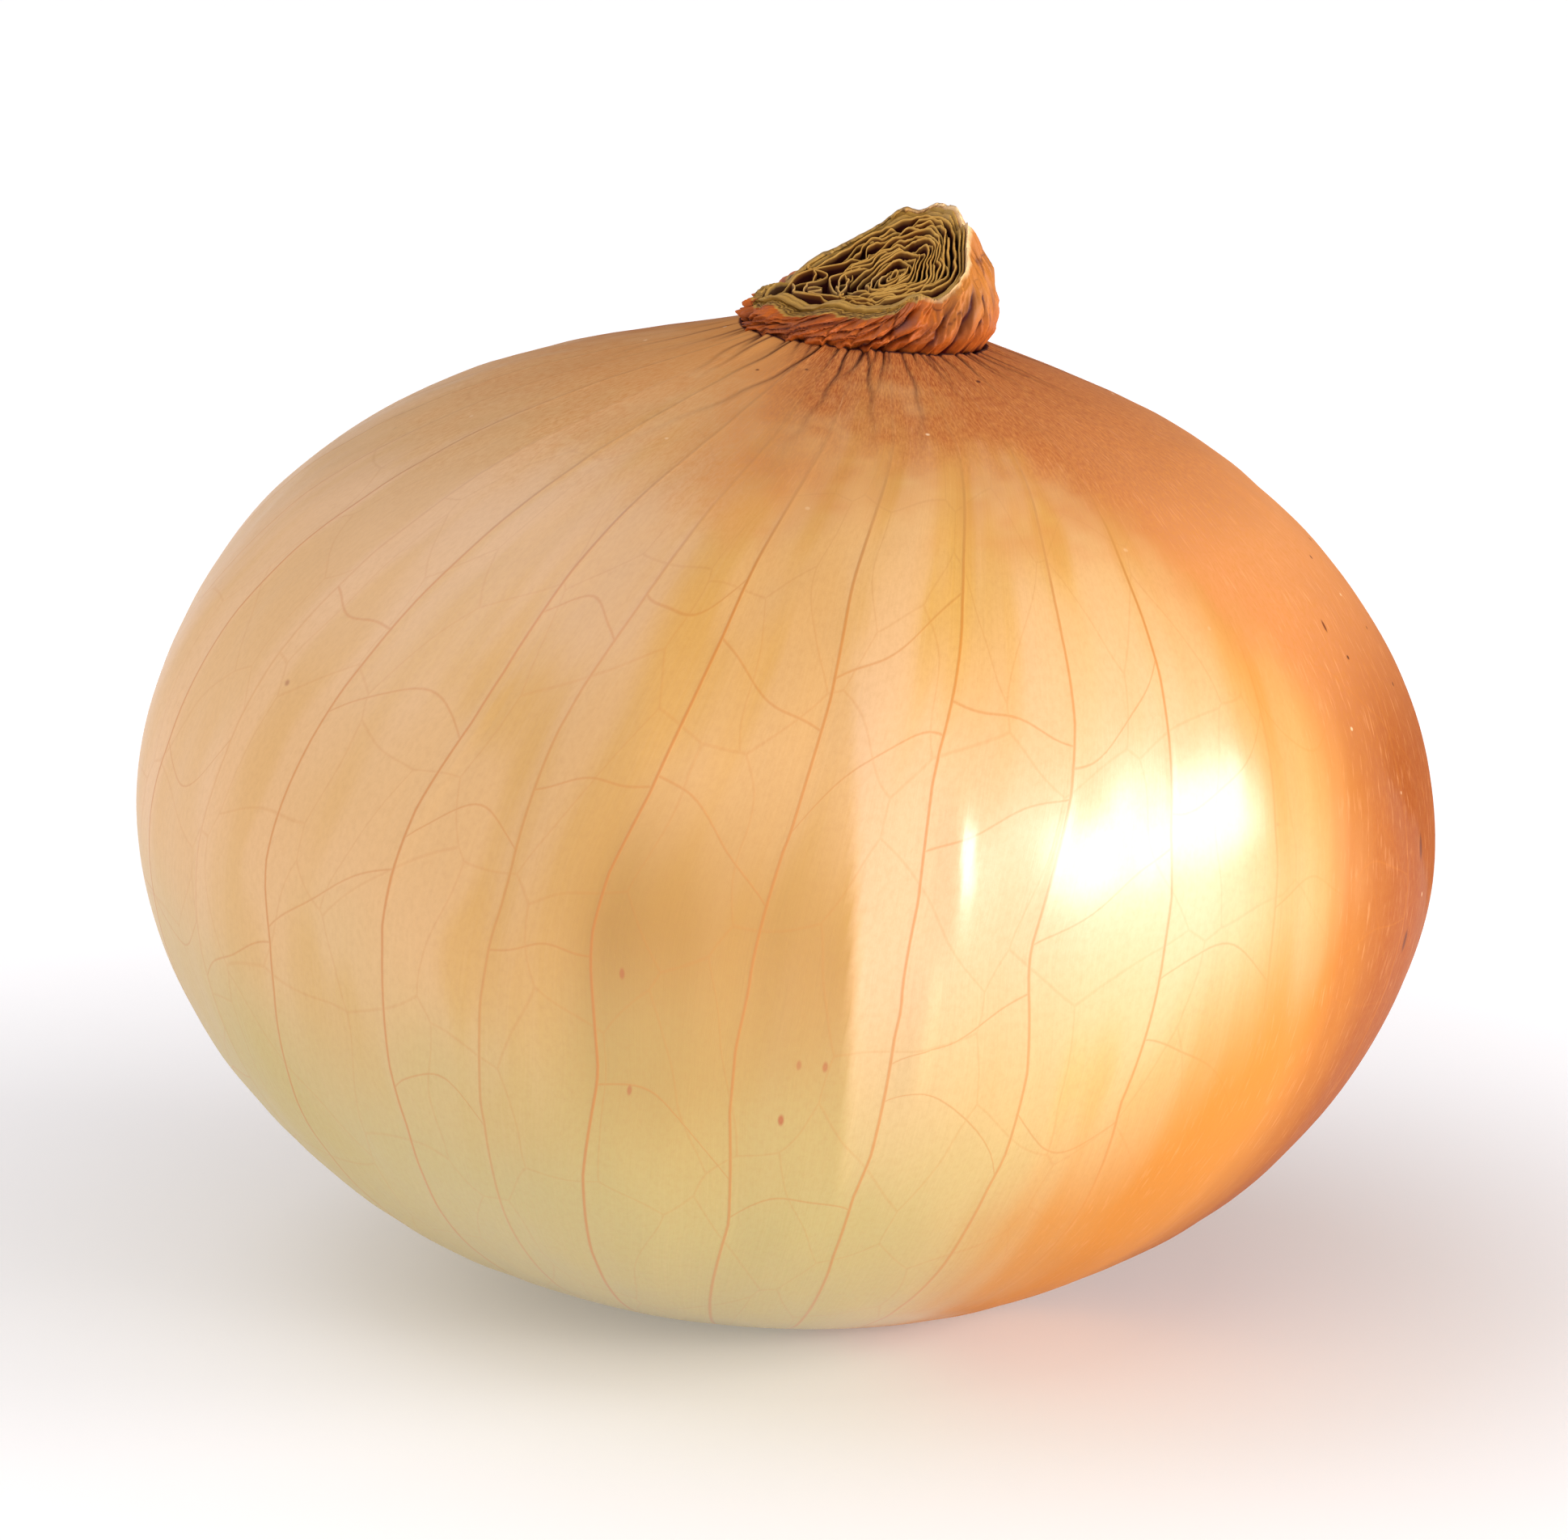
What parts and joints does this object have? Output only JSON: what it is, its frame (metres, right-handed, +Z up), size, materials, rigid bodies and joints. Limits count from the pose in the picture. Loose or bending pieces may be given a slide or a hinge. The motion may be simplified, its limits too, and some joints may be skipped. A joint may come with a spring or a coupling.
{
  "type": "onion",
  "caption": "Round golden bulb onion with a papery veined skin, a crumpled neck cut open on rolled dry leaf bases, and a root plate with dried rootlets underneath.",
  "frame": {"origin": "on the surface the onion stands on, under the middle of its box", "axes": "+Z up, along the bulb's axis apart from its lean of 4 degrees; +X the way the neck leans and the wider way across; +Y the bulb's narrower way across, from the side where the cut in the neck faces the viewer to the back"},
  "size_m": [0.09, 0.0886, 0.0759],
  "materials": {
    "onion_skin": "satin",
    "withered_leaf": "matte",
    "dried_root": "matte"
  },
  "bodies": {
    "root": {"bulb": "onion_skin", "neck_leaves": "withered_leaf", "root_plate": "dried_root"}
  },
  "joints": []
}
